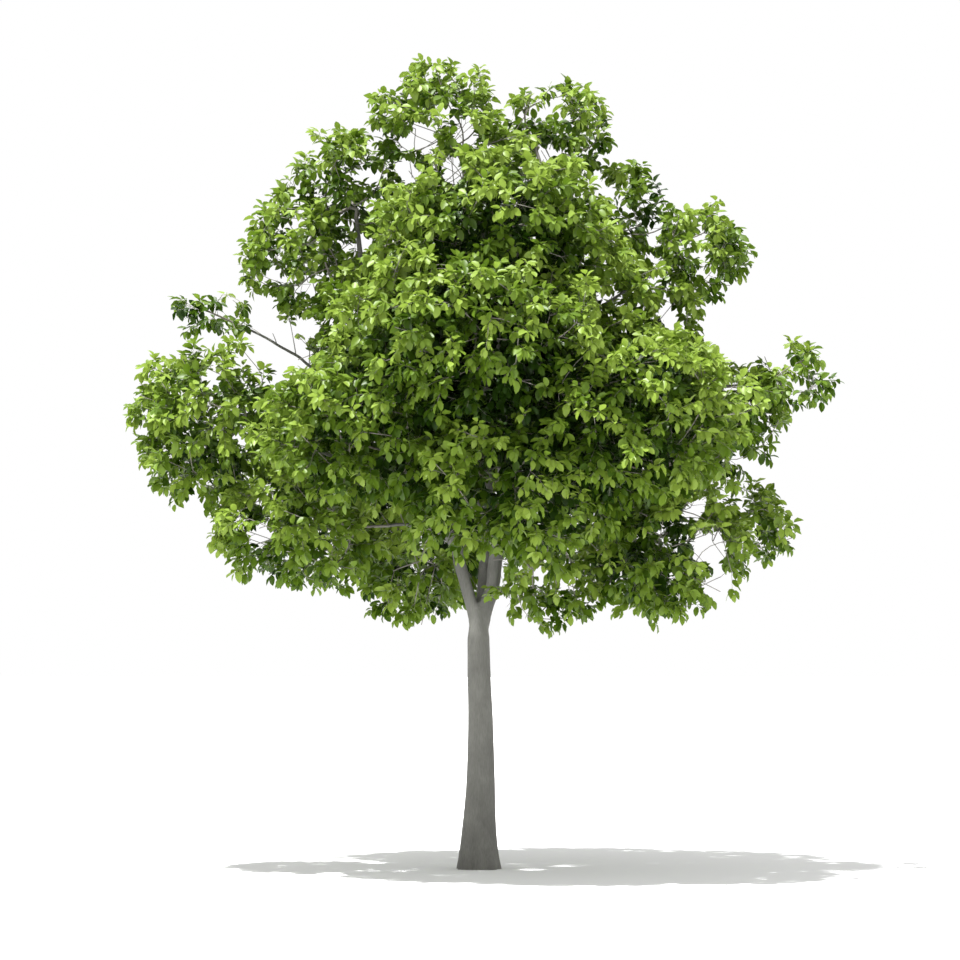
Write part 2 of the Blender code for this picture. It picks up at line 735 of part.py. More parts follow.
def main():
    clear_scene()
    tree = collection("broadleaf_tree")
    cutters = collection("cutters")
    bark = material("bark", BARK_COLOUR, BARK_ROUGHNESS)
    leaf = material("leaf", LEAF_COLOUR, LEAF_ROUGHNESS)

    stubs, leaders, leader_stems = shape_leaders()
    boughs, bough_stems = shape_boughs(leaders)
    stems = {**bough_stems, **leader_stems}
    limbs = [trunk_limb(), *stubs.values(), *leaders.values(), *boughs.values()]
    obstacles = np.vstack([limb.samples() for limb in limbs])

    build_trunk(stubs, tree, bark)
    build_leaders(leaders, tree, bark)
    build_boughs(boughs, leaders, tree, cutters, bark)
    mesh = blade_mesh()
    for name in MASSES:
        build_foliage(Foliage(name, stems[name], obstacles), mesh, tree, leaf)


main()
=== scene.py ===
"""Looks of the broadleaf tree: barked limbs, twigs and leaves in place of the frame's plain solids.

Metres, +Z up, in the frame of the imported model, with -Y the tree's front. The values and the growth rule
under "The tree, as its source has it" are the source's own. Under "The finer growth" the rule is carried on
to finer twigs and to leafy shoots on them, which fill the same spaces as the source's masses of foliage.
"""

import math
from dataclasses import dataclass

import bmesh
import bpy
import numpy as np
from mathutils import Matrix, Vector, noise


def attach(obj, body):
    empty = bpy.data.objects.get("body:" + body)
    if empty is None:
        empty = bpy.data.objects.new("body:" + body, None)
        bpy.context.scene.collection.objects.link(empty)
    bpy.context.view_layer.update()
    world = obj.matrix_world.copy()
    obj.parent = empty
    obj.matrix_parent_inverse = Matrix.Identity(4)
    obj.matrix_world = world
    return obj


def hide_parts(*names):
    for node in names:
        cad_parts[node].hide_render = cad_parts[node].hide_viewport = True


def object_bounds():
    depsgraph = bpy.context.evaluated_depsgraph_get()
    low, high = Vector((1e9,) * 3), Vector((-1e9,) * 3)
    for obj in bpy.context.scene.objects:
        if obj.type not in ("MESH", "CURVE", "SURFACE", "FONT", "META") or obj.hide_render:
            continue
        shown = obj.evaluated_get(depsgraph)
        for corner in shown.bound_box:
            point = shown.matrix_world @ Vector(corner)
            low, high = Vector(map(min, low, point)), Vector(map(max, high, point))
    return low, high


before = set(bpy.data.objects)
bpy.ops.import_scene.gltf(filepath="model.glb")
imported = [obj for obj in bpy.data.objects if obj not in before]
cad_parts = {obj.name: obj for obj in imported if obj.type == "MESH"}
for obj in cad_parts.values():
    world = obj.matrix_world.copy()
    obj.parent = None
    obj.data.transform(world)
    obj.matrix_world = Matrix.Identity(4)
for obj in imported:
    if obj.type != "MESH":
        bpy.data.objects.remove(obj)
CAD_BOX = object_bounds()
EYE = (0.011, -26.0, 1.6)  # the camera's place

# ============================================================================ The tree, as its source has it

TRUNK_RADIUS = 0.108
TRUNK_TAPER = 0.0153  # radius lost for each metre of height
FLARE = 0.055  # added radius at the ground
FLARE_HEIGHT = 0.35
TRUNK_FOOT = 0.03  # height up to which it stands straight
TRUNK_BOW = 0.018  # how far the trunk swings towards +X half-way up
FORK_HEART = (0.0, 0.0, 1.70)


@dataclass
class Leader:
    path: tuple  # points it passes after FORK_HEART, before the middle of the mass it carries
    radii: tuple  # in the heart of the trunk, and where it enters that mass
    carries: str


LEADERS = {
    "leader_right": Leader(
        path=((0.045, 0.0, 1.90), (0.103, 0.0, 2.09), (0.125, -0.01, 2.28), (0.19, 0.0, 2.62),
              (0.18, 0.01, 3.2), (0.165, 0.0, 3.8), (0.20, 0.0, 4.35), (0.33, 0.02, 4.85)),
        radii=(0.060, 0.018),
        carries="top_right",
    ),
    "leader_left": Leader(
        path=((-0.038, 0.0, 1.90), (-0.093, 0.0, 2.09), (-0.142, 0.0, 2.26), (-0.20, 0.0, 2.44),
              (-0.54, 0.0, 2.92), (-0.72, 0.02, 3.45), (-0.82, 0.05, 4.05)),
        radii=(0.052, 0.016),
        carries="left_crown",
    ),
    "leader_rear": Leader(
        path=((0.018, 0.045, 1.90), (0.03, 0.105, 2.09), (0.05, 0.21, 2.40), (0.08, 0.42, 3.0),
              (0.05, 0.62, 3.6)),
        radii=(0.048, 0.016),
        carries="back_high",
    ),
}

BOUGH_OF_LEADER = 0.55  # a bough's thickest radius, as a share of the leader's where it leaves
BOUGH_TAPER = 2.0  # but no more than this many times that at its end
BOUGH_TIP = 0.013  # its radius where it enters a mass of the common size
COMMON_SIZE = 0.6  # of a mass
RISE = 0.35  # how far a bough's first stretch follows its leader
SWAY = 0.42  # how far its end runs level and outwards
ACROSS = 1.18  # a mass's width, against its length outwards
TALL = 0.86  # and its height, where no other is given
STEM_SHARE = 0.55  # how far the stem runs from the edge of its space towards the middle


@dataclass
class Mass:
    heading: float  # degrees round the trunk from +X towards +Y
    reach: float  # of its middle, from the trunk's line
    height: float
    size: float  # half its length outwards
    leader: str = ""  # that its bough leaves, empty where a leader carries it
    leaves_at: float = 0.0  # height at which the bough leaves the leader
    tall: float = TALL


MASSES = {
    # the crown's outline to the left, from the ground up
    "low_left": Mass(192, 1.34, 2.50, 0.68, "leader_left", 2.46, 0.74),
    "left_reach": Mass(182, 2.02, 3.32, 0.60, "leader_left", 2.74, 1.0),
    "left_arm": Mass(173, 2.02, 4.14, 0.40, "leader_left", 3.20, 0.72),
    "left_shoulder": Mass(178, 1.30, 4.62, 0.50, "leader_left", 3.72, 1.0),
    "left_crown": Mass(176, 0.95, 5.12, 0.50),
    "left_middle": Mass(206, 1.04, 3.98, 0.44, "leader_left", 3.10, 1.0),
    "top_left": Mass(190, 0.34, 5.53, 0.52, "leader_right", 4.10, 1.0),
    # and down again to the right
    "top_right": Mass(4, 0.56, 5.46, 0.52, tall=1.0),
    "right_crown": Mass(8, 1.14, 4.92, 0.46, "leader_right", 3.72, 1.0),
    "right_shoulder": Mass(0, 1.62, 4.58, 0.50, "leader_right", 3.40, 0.84),
    "right_middle": Mass(-8, 1.18, 4.08, 0.50, "leader_right", 3.10, 0.90),
    "right_arm": Mass(0, 2.34, 3.65, 0.40, "leader_right", 2.95, 0.78),
    "right_lobe": Mass(-4, 1.72, 3.36, 0.62, "leader_right", 2.66),
    "right_reach": Mass(6, 1.98, 2.54, 0.50, "leader_right", 2.56, 0.75),
    "low_right": Mass(-14, 1.36, 2.38, 0.66, "leader_right", 2.44, 0.80),
    "left_skirt": Mass(152, 0.56, 2.15, 0.44, "leader_left", 2.54),
    "right_skirt": Mass(-38, 0.66, 2.12, 0.44, "leader_right", 2.36),
    # the front
    "front_low": Mass(-80, 1.25, 2.86, 0.76, "leader_right", 2.50),
    "front_left": Mass(-122, 1.40, 3.26, 0.78, "leader_left", 2.60),
    "front_right": Mass(-50, 1.60, 3.30, 0.80, "leader_right", 2.56),
    "front_mid": Mass(-92, 1.60, 3.85, 0.74, "leader_right", 3.05),
    "front_high": Mass(-82, 0.95, 4.60, 0.76, "leader_right", 3.50),
    "front_crown": Mass(-98, 0.56, 5.06, 0.48, "leader_right", 4.00, 1.0),
    # the back
    "back_low": Mass(108, 1.25, 2.58, 0.74, "leader_rear", 2.44),
    "back_left": Mass(122, 1.55, 3.28, 0.80, "leader_rear", 2.62),
    "back_right": Mass(46, 1.60, 3.38, 0.80, "leader_rear", 2.48),
    "back_mid": Mass(88, 1.74, 3.70, 0.74, "leader_rear", 2.95),
    "back_high": Mass(94, 1.00, 4.56, 0.78),
    "back_crown": Mass(78, 0.62, 5.12, 0.48, "leader_right", 4.20, 1.0),
}

TURN_COST = 0.3  # what a twig that turns back costs, against one that goes straight on
WAY_COST = 0.45  # what each metre back to the bough costs
MOST_BRANCHES = 3
PIPE = 2.4  # a twig's radius to this power is the sum of those of the twigs it carries
PLASTIC = 1.2207440846057596  # the golden ratio's fellow in three dimensions, which spreads points evenly
SEED_STEP = 0.37  # between the starts of two masses' points
UP = np.array((0.0, 0.0, 1.0))
TINY = 1e-9


def unit(vector):
    """The vector, or each row of a list of them, at length 1."""
    return vector / np.maximum(np.linalg.norm(vector, axis=-1, keepdims=True), TINY)


def outwards(heading):
    angle = math.radians(heading)
    return np.array((math.cos(angle), math.sin(angle), 0.0))


def smooth_line(points, per_stretch=12):
    """A Catmull-Rom curve through the points."""
    points = np.array(points, float)
    ends = np.vstack((2 * points[0] - points[1], points, 2 * points[-1] - points[-2]))
    share = np.linspace(0, 1, per_stretch, endpoint=False)[:, None]
    line = []
    for a, b, c, d in zip(ends, ends[1:], ends[2:], ends[3:]):
        line.append(0.5 * (2 * b + (c - a) * share + (2 * a - 5 * b + 4 * c - d) * share**2
                           + (3 * b - a - 3 * c + d) * share**3))
    return np.vstack((*line, points[-1:]))


def bezier(a, b, c, d, count=40):
    t = np.linspace(0, 1, count)[:, None]
    return (1 - t)**3 * a + 3 * t * (1 - t)**2 * b + 3 * t**2 * (1 - t) * c + t**3 * d


def lengths_along(line):
    return np.concatenate(([0.0], np.cumsum(np.linalg.norm(np.diff(line, axis=0), axis=1))))


class Space:
    """The egg-shaped region that a mass keeps to, less what lies nearer the middle of another."""

    def __init__(self, mass):
        out = outwards(mass.heading)
        across = np.cross(UP, out)
        self.middle = out * mass.reach + UP * mass.height
        self.radii = mass.size * np.array((1.0, ACROSS, mass.tall))
        self.axes = np.stack((out, across, UP))

    def level(self, points):
        """0 in its middle and 1 on its skin."""
        return np.linalg.norm((points - self.middle) @ self.axes.T / self.radii, axis=-1)


SPACES = {name: Space(mass) for name, mass in MASSES.items()}
ORDER = {name: index for index, name in enumerate(MASSES)}


def in_space(name, points, skin=1.0, overlap=0.0):
    """Which of the points lie in the mass's own space, or no further than the overlap into a neighbour's."""
    own = SPACES[name].level(points)
    others = np.min([s.level(points) for other, s in SPACES.items() if other != name], axis=0)
    return (own <= skin) & (own < others + overlap)


def entry(line, name):
    """Index of the line's point where it enters the mass's own space for good."""
    outside = np.flatnonzero(~in_space(name, line[:-1]))
    return int(outside[-1]) + 1 if len(outside) else 1


@dataclass
class Limb:
    """A tapering limb along a line."""
    line: np.ndarray
    radii: np.ndarray


def shape_limbs():
    """(leaders, boughs, stems): the leaders from the heart of the trunk, the boughs from the middle of their
    leader, both up to their mass, and the line on from there towards the middle of each mass."""
    leaders, boughs, stems = {}, {}, {}
    for name, leader in LEADERS.items():
        line = smooth_line((FORK_HEART, *leader.path, SPACES[leader.carries].middle))
        enters = entry(line, leader.carries)
        along = lengths_along(line)
        radii = np.interp(along, (0, along[enters]), leader.radii)
        leaders[name] = Limb(line[:enters + 1], radii[:enters + 1])
        stems[leader.carries] = line[enters:]
    for name, mass in MASSES.items():
        if not mass.leader:
            continue
        leader = leaders[mass.leader]
        at = int(np.argmax(leader.line[:, 2] >= mass.leaves_at))
        start, heading = leader.line[at], unit(leader.line[at] - leader.line[at - 1])
        end = SPACES[name].middle
        gap = np.linalg.norm(end - start)
        towards = unit(end - start)
        first = unit(heading * RISE + towards * (1 - RISE))
        last = unit(outwards(mass.heading) * SWAY + towards * (1 - SWAY))
        line = bezier(start, start + first * gap / 3, end - last * gap / 3, end)
        enters = entry(line, name)
        tip = BOUGH_TIP * math.sqrt(mass.size / COMMON_SIZE)
        butt = np.clip(leader.radii[at] * BOUGH_OF_LEADER, tip, tip * BOUGH_TAPER)
        boughs[name] = Limb(line[:enters + 1], np.linspace(butt, tip, enters + 1))
        stems[name] = line[enters:]
    return leaders, boughs, stems


def grow(root, heading, points, allowed):
    """Joins the points into one branching tree on the root, cheapest joint first. A joint costs its length,
    more if it turns back from the way its twig was going, and a share of the whole way back to the root."""
    nodes, parents, ways, headings, branches = [root], [-1], [0.0], [heading], [0]
    waiting = list(range(len(points)))
    costs = [joint_costs(root, heading, 0.0, points)]
    while waiting:
        table = np.array(costs)[:, waiting]
        at, column = np.unravel_index(np.argmin(table), table.shape)
        if not np.isfinite(table[at, column]):
            break
        chosen = waiting[column]
        point = points[chosen]
        if not allowed(nodes[at], point):
            costs[at][chosen] = np.inf
            continue
        waiting.pop(column)
        nodes.append(point)
        parents.append(int(at))
        ways.append(ways[at] + np.linalg.norm(point - nodes[at]))
        headings.append(unit(point - nodes[at]))
        branches.append(0)
        branches[at] += 1
        if branches[at] >= MOST_BRANCHES:
            costs[at][:] = np.inf
        costs.append(joint_costs(point, headings[-1], ways[-1], points))
    return np.array(nodes), parents, np.array(headings)


def joint_costs(node, heading, way, points):
    step = points - node
    length = np.linalg.norm(step, axis=1)
    turn = 1 - (step @ heading) / np.maximum(length, TINY)
    return length * (1 + TURN_COST * turn) + WAY_COST * way


# ============================================================================ The finer growth

SEED = 11
NOISE_SEED = 1  # without one, the vector noise differs from run to run
NODES_PER_M3 = 76  # twig joints
NODE_LEVELS = (0.30, 0.90)  # how far out in its space they lie
CLUMP = 0.30  # size of the clumps at the outside of the crown
CLUMP_DEPTH = 0.30  # how much they add to its reach, as a share
CLUMP_SHIFT = 5.3  # between the clumps of one seed and the next
GROWTHS = {  # each mass's seed for its clumps and shoots, and how full it is
    "low_left": (6, 1), "left_reach": (3, 1.07), "left_arm": (3, 0.92), "left_shoulder": (4, 1.07),
    "left_crown": (0, 1), "left_middle": (3, 1.07), "top_left": (3, 1.07), "top_right": (5, 0.92),
    "right_crown": (5, 0.92), "right_shoulder": (4, 1), "right_middle": (7, 1.07), "right_arm": (9, 1),
    "right_lobe": (9, 0.92), "right_reach": (4, 1), "low_right": (0, 1.07), "left_skirt": (5, 1),
    "right_skirt": (3, 1.07), "front_low": (1, 1.07), "front_left": (3, 1), "front_right": (3, 1.07),
    "front_mid": (3, 1.07), "front_high": (7, 1.07), "front_crown": (7, 1.07), "back_low": (8, 1.07),
    "back_left": (6, 1.07), "back_right": (8, 1.07), "back_mid": (6, 1.07), "back_high": (3, 1.07),
    "back_crown": (0, 1.07),
}

TWIG_TEST = np.linspace(0.2, 1, 5)  # the shares of a twig where it has to lie in its space
TWIG_OVERLAP = 0.02  # how far it may pass into a neighbour's
TWIG_SKIN = 1.1  # and how far out of its own
TWIG_TIP = 0.0028  # its radius, where it carries on as a shoot
STEM_THINNING = 6  # one in so many of the stem's points is kept

BEND = 0.045  # how far a bough strays from the source's curve
BEND_SIZE = 0.24  # and over what length
SLIMMER = 0.8  # its thickness, as a share of the source's

SHOOTS = ((0.5, 1), (1.0, 4))  # (how far along a twig, how many shoots leave it there)
ALONG, OUT, AROUND, RISING = 0.55, 0.60, 0.75, 0.25  # what a shoot's heading is mixed from
GOLDEN_ANGLE = math.pi * (3 - math.sqrt(5))
SHOOT_LENGTH = (0.12, 0.27)
SHOOT_SAG = (0.10, 0.45)  # how far its tip hangs below its heading, as a share of its length
SHORTER = (1.0, 0.7, 0.45)  # shares of its length that are tried until it fits
SHOOT_OVERLAP = 0.16  # how far it may pass into a neighbour's space
TIP_LEAF = 0.7  # how much of a leaf is reckoned in beyond its tip
REACH = np.array(CAD_BOX) + ((-0.02,), (0.02,))  # the box that its last leaf keeps to
SHOOT_RADII = (0.0021, 0.0010)
SHOOT_POINTS = 3
SHOOT_SIDES = 3

SPRAY_FROM = 0.42  # the share of a bough beyond which it bears small leafy twigs
SPRAY_STEP = 0.13  # between them
SPRAY_LENGTH = (0.14, 0.32)
SPRAY_SAG = 0.1
SPRAY_RADII = (0.0040, 0.0022)
SPRAY_POINTS = 4
SPRAY_SHOOTS = ((2, 0.55), (3, 0.8), (3, 1.0), (3, 1.0))  # (its point that each leaves, how far ahead it heads)
SPRAY_AROUND = 0.6  # how far they head away to the sides
SPRAY_SHORTER = 0.7  # their length against other shoots'
# painted light: the sprays' leaves take their tone of painted light and shade from this fixed value
SPRAY_LIGHT = 0.8  # what other shoots get by how far out and how high they stand

GAPS = np.array((  # x, z and radius, at the trunk, of the gaps through which the sky shows from the eye
    (-1.54, 3.95, 0.17), (-1.31, 3.83, 0.07), (-1.24, 4.00, 0.05), (-1.99, 3.63, 0.06), (-1.84, 4.17, 0.05),
    (-1.30, 4.34, 0.06), (-0.87, 4.64, 0.06), (-1.63, 2.47, 0.08), (-0.18, 5.21, 0.09), (-0.41, 5.44, 0.09),
    (-0.55, 5.18, 0.08), (-0.10, 5.47, 0.08), (0.50, 5.30, 0.07), (1.30, 4.72, 0.05), (1.40, 4.11, 0.07),
    (1.88, 3.59, 0.05), (1.91, 3.04, 0.05), (1.61, 2.66, 0.06), (1.70, 2.39, 0.12), (1.77, 2.11, 0.09),
    (0.16, 1.94, 0.07), (0.13, 2.16, 0.07), (0.16, 2.28, 0.05),
))
GAP_MARGIN = 0.015  # how far leaves keep off them
GAP_TEST = 0.6  # the share of a leaf's length at which that is tested
GAP_NOTCH = 0.10  # size of the notches in a gap's edge
GAP_STRAY = 0.07  # and their depth
SHOOT_TEST = (0.5, 0.8, 1.0)  # the shares of a shoot that keep out of the gaps

LEAF_STEP = 0.0145  # between the leaves of a shoot
LEAST_LEAVES = 3  # on one
FIRST_LEAF = 0.15  # the share of a shoot below which it bears none
LEAF_CLOSING = 0.85  # below 1, they stand closer towards the tip
SIDE_ANGLE = math.radians(58)  # between a shoot and its side leaves
SIDE_SPREAD = (0.75, 1.2)  # how much that differs
TIP_ANGLE = 0.15  # between a shoot and the leaf at its tip
RANKS = 0.45  # how far leaves rise and fall about their shoot, against to its sides
LEAF_DROOP = (-0.25, 0.65)  # how steeply leaves hang, as a slope
LEAF_HANG = 0.9  # what that grows by on the underside of a shoot
LEAF_OUT = 0.2  # how much a leaf's face turns out of the crown, against up
LEAF_ROLL = math.radians(28)
CROWN_HEART = (0.0, 0.0, 3.4)  # away from which leaves turn their faces

LEAF_LENGTH = 0.075
LEAF_SPREAD = 0.22  # how much leaves differ, as a share of their length
LOW_LEAVES = (0.35, 0.8)  # the share of a shoot up to which they are smaller, and their size there
TIP_SIZE = 0.85  # of the leaf at its tip
LEAF_WIDTH = 0.64  # of its length
LEAF_STATIONS = (0.20, 0.52, 0.82)  # along it, where its edges have a corner
LEAF_BREADTHS = (0.72, 1.0, 0.66)  # at the stations, of half its width
PETIOLE = 0.13  # length of its stalk, as a share of the leaf's
PETIOLE_HALF = 0.011  # and half its width
PETIOLE_TIP = 0.05  # how far it runs on under the leaf
LEAF_FOLD = (0.10, 0.60)  # how steeply its halves rise from its midrib
LEAF_CURL = (0.05, 0.45)  # how far its tip hangs, as a share of its length
LEAF_WAVE = 0.03  # how far its edges stray up and down

# Painted light and shade: lit and shaded copies of one leaf colour, dealt out by how much light each shoot is
# reckoned to get.
TONES = {  # from the leaves in full light to those deep in the crown
    "painted_sunlit": (0.205, 0.295, 0.040),
    "bright": (0.140, 0.220, 0.023),
    "middle": (0.084, 0.146, 0.010),
    "deep": (0.042, 0.086, 0.004),
    "shade": (0.016, 0.043, 0.002),
}
TONE_SHARES = (0.17, 0.21, 0.22, 0.20, 0.20)
# Painted light and shade: a leaf is painted lighter the further out and the higher its shoot stands and the
# nearer the shoot's tip, and darker where other shoots crowd round it.
# how much a leaf's tone goes, against how far out in its mass its shoot stands,
TONE_HEIGHT = 0.30  # by how high the shoot stands in its mass
TONE_CROWDING = 1.0  # by how closely others stand round it
TONE_ALONG = 0.30  # by how far along the shoot the leaf is
TONE_SPREAD = 0.20  # and by chance
CROWD_SIZE = 0.35  # how far a shoot crowds others
LEAST_CROWDING = 0.90  # below which crowding makes no difference

rng = np.random.default_rng(SEED)
noise.seed_set(NOISE_SEED)


def skin_at(name, points):
    """How far out foliage reaches at each point, as a share of its space: it comes and goes in clumps."""
    start, fullness = GROWTHS[name]
    shift = Vector((start * CLUMP_SHIFT, 0.0, 0.0))
    swell = [noise.noise(Vector(point) / CLUMP + shift) for point in points]
    return fullness * (1 + CLUMP_DEPTH * np.array(swell))


def in_gap(points, margin=0.0):
    """Which of the points lie in a gap of the crown, or no further than the margin from one."""
    eye = np.array((EYE[0], EYE[2]))
    seen = eye + (points[:, [0, 2]] - eye) * (EYE[1] / (EYE[1] - points[:, 1:2]))
    seen += np.array([noise.noise_vector(Vector((x, 0, z)) / GAP_NOTCH)[:2] for x, z in seen]) * GAP_STRAY
    away = np.linalg.norm(seen[:, None] - GAPS[:, :2], axis=2)
    return (away < GAPS[:, 2] + margin).any(axis=1)


def scattered(name):
    """Points spread evenly through the mass's space, by the source's low-discrepancy sequence."""
    space = SPACES[name]
    start = 0.5 + ORDER[name] * SEED_STEP
    count = round(NODES_PER_M3 * 8 * np.prod(space.radii))
    index = np.arange(1, count)[:, None]
    cube = (start + index * PLASTIC ** -np.arange(1.0, 4.0)) % 1
    points = space.middle + ((cube * 2 - 1) * space.radii) @ space.axes
    level = space.level(points)
    skin = NODE_LEVELS[1] * skin_at(name, points)
    return points[(level > NODE_LEVELS[0]) & in_space(name, points, skin)]


class Foliage:
    """One mass's twigs and shoots, grown on from the stem that its bough or leader sends into it."""

    def __init__(self, name, stem, radius):
        self.name = name
        along = lengths_along(stem)
        reach = max(2, int(np.searchsorted(along, STEM_SHARE * along[-1])))
        stem = stem[:reach]
        heading = unit(stem[-1] - stem[-2])
        self.nodes, self.parents, self.headings = grow(stem[-1], heading, scattered(name), self.twig_fits)
        self.twigs = self.shape_twigs(stem, radius)
        self.shoots = self.place_shoots()

    def twig_fits(self, start, end):
        points = start + TWIG_TEST[:, None] * (end - start)
        return bool(in_space(self.name, points, TWIG_SKIN, TWIG_OVERLAP).all())

    def shape_twigs(self, stem, radius):
        """Smooth limbs, the stem first. Each runs from its joint to a tip by the thickest way, and they are
        scaled so that the stem is as thick as the limb that carries it."""
        count = len(self.nodes)
        wood = np.zeros(count)
        children = [[] for _ in range(count)]
        for node in range(count - 1, 0, -1):
            children[self.parents[node]].append(node)
            wood[node] = max(wood[node], 1.0)
            wood[self.parents[node]] += wood[node]
        thick = TWIG_TIP + (radius - TWIG_TIP) * (wood**(1 / PIPE) - 1) / (wood[0]**(1 / PIPE) - 1)
        limbs = []
        waiting = [[0]]
        while waiting:
            way = waiting.pop(0)
            while children[way[-1]]:
                following = max(children[way[-1]], key=lambda child: wood[child])
                waiting += [[way[-1], child] for child in children[way[-1]] if child != following]
                way.append(following)
            radii = np.append(thick[way[1]], thick[way[1:]])
            limbs.append(Limb(self.nodes[way], radii))
        first, before = limbs[0], stem[:-1:STEM_THINNING]
        radii = np.append(np.full(len(before) + 1, radius), first.radii[1:])
        limbs[0] = Limb(np.vstack((before, first.line)), radii)
        return limbs

    def place_shoots(self):
        """(origin, heading, length, sag, light) of each shoot that fits, as rows."""
        chance = np.random.default_rng((SEED, ORDER[self.name], GROWTHS[self.name][0]))
        rows = []
        turn = 0.0
        for node in range(1, len(self.nodes)):
            start, end = self.nodes[self.parents[node]], self.nodes[node]
            along = self.headings[node]
            sideways = unit(np.cross(along, UP) + TINY)
            upwards = np.cross(sideways, along)
            for share, count in SHOOTS:
                origin = start + share * (end - start)
                out = unit(origin - SPACES[self.name].middle)
                for _ in range(count):
                    turn += GOLDEN_ANGLE
                    around = sideways * math.cos(turn) + upwards * math.sin(turn)
                    heading = unit(along * ALONG + out * OUT + around * AROUND + UP * RISING)
                    length = chance.uniform(*SHOOT_LENGTH)
                    sag = chance.uniform(*SHOOT_SAG)
                    length = self.fitting_length(origin, heading, length, sag)
                    if length:
                        rows.append(np.concatenate((origin, heading, (length, sag, self.light_at(origin)))))
        return np.array(rows)

    def fitting_length(self, origin, heading, length, sag):
        """The length, shortened as far as the shoot needs to fit, or 0 if it doesn't."""
        for shorter in SHORTER:
            if self.shoot_fits(origin, heading, length * shorter, sag):
                return length * shorter
        return 0.0

    def shoot_fits(self, origin, heading, length, sag):
        """Whether its tip is clear of the gaps and its last leaf stays in its space and in the box."""
        tip = shoot_at(origin, heading, length, sag, np.array([1.0]))
        if in_gap(tip).any():
            return False
        tip = tip + heading * LEAF_LENGTH * TIP_LEAF
        in_reach = (tip > REACH[0]).all() and (tip < REACH[1]).all()
        return in_reach and bool(in_space(self.name, tip, skin_at(self.name, tip), SHOOT_OVERLAP).all())

    def light_at(self, origin):
        """How much light a shoot there gets, by how far out and how high it stands in its mass."""
        space = SPACES[self.name]
        rise = (origin[2] - space.middle[2]) / space.radii[2]
        return space.level(origin) + TONE_HEIGHT * rise


def wandering(limb):
    """The limb a little slimmer, with the small bends of real growth. Its ends stay in place."""
    along = lengths_along(limb.line)
    bend = np.array([noise.noise_vector(Vector(point) / BEND_SIZE) for point in limb.line]) * BEND
    return Limb(limb.line + bend * np.sin(math.pi * along / along[-1])[:, None], limb.radii * SLIMMER)


def side_sprays(bough):
    """(twigs, shoots) on the outer part of a bough: small leafy twigs, and their shoots as rows."""
    along = lengths_along(bough.line)
    twigs, rows = [], []
    turn = 0.0
    for at in np.arange(SPRAY_FROM * along[-1], along[-1], SPRAY_STEP):
        index = int(np.searchsorted(along, at))
        start = bough.line[index]
        ahead = unit(bough.line[index] - bough.line[index - 1])
        sideways = unit(np.cross(ahead, UP))
        turn += GOLDEN_ANGLE
        around = sideways * math.cos(turn) + np.cross(sideways, ahead) * math.sin(turn)
        heading = unit(ahead * ALONG + around * AROUND + UP * 2 * RISING)
        length = rng.uniform(*SPRAY_LENGTH)
        line = shoot_at(start, heading, length, SPRAY_SAG, np.linspace(0, 1, SPRAY_POINTS))
        twigs.append(Limb(line, np.linspace(*SPRAY_RADII, SPRAY_POINTS)))
        for point, keeping in SPRAY_SHOOTS:
            turn += GOLDEN_ANGLE
            around = sideways * math.cos(turn) + UP * math.sin(turn)
            length = rng.uniform(*SHOOT_LENGTH) * SPRAY_SHORTER
            sag = rng.uniform(*SHOOT_SAG)
            own = unit(heading * keeping + around * SPRAY_AROUND)
            rows.append(np.concatenate((line[point], own, (length, sag, SPRAY_LIGHT))))
    return twigs, rows


def shoot_at(origin, heading, length, sag, share):
    """Points at the given shares of a shoot, which arches over under its leaves."""
    share = share[..., None]
    return origin + heading * length * share - UP * sag * length * share**2


def columns(shoots):
    """(origin, heading, length, sag) of the shoots' rows."""
    return shoots[..., :3], shoots[..., 3:6], shoots[..., 6:7], shoots[..., 7:8]


def clear_of_gaps(shoots):
    """The shoots that keep out of the gaps from half-way along to their tips."""
    for share in SHOOT_TEST:
        shoots = shoots[~in_gap(shoot_at(*columns(shoots), np.array([share])))]
    return shoots


# ============================================================================ Meshes

def tubes(lines, radii, sides):
    """(vertices, faces) of closed tubes, one for each row of lines, an array of (tubes, points, 3)."""
    count, points = lines.shape[:2]
    ahead = unit(np.gradient(lines, axis=1))
    chord = unit(lines[:, -1] - lines[:, 0])
    reference = np.eye(3)[np.argmin(abs(chord), axis=1)][:, None]
    normal = unit(reference - ahead * (reference * ahead).sum(-1, keepdims=True))
    beside = np.cross(ahead, normal)
    angle = 2 * math.pi * np.arange(sides) / sides
    ring = normal[:, :, None] * np.cos(angle)[:, None] + beside[:, :, None] * np.sin(angle)[:, None]
    vertices = lines[:, :, None] + radii[:, :, None, None] * ring
    index = np.arange(count * points * sides).reshape(count, points, sides)
    turned = np.roll(index, -1, axis=2)
    walls = np.stack((index[:, :-1], turned[:, :-1], turned[:, 1:], index[:, 1:]), axis=-1)
    caps = np.concatenate((index[:, 0, ::-1], index[:, -1]))
    return vertices.reshape(-1, 3), walls.reshape(-1, 4).tolist() + caps.tolist()


def joined(parts):
    """(vertices, faces) of several such pairs in one."""
    vertices, faces, start = [], [], 0
    for more, its_faces in parts:
        vertices.append(more)
        faces += [[corner + start for corner in face] for face in its_faces]
        start += len(more)
    return np.vstack(vertices), faces


def piece(name, vertices, faces, look):
    mesh = bpy.data.meshes.new(name)
    mesh.from_pydata(vertices, [], faces)
    mesh.shade_smooth()
    mesh.materials.append(look)
    made = bpy.data.objects.new(name, mesh)
    bpy.context.scene.collection.objects.link(made)
    return made


def refined(limb, step):
    """The limb as a smooth line with a point every step or so."""
    table = smooth_line(np.column_stack((limb.line, limb.radii)))
    along = lengths_along(table[:, :3])
    at = np.linspace(0, along[-1], max(3, round(along[-1] / step) + 1))
    table = np.stack([np.interp(at, along, table[:, column]) for column in range(4)], axis=1)
    return Limb(table[:, :3], table[:, 3])


def tube(limb, sides):
    return tubes(limb.line[None], limb.radii[None], sides)


# ---------------------------------------------------------------------------- trunk and limbs

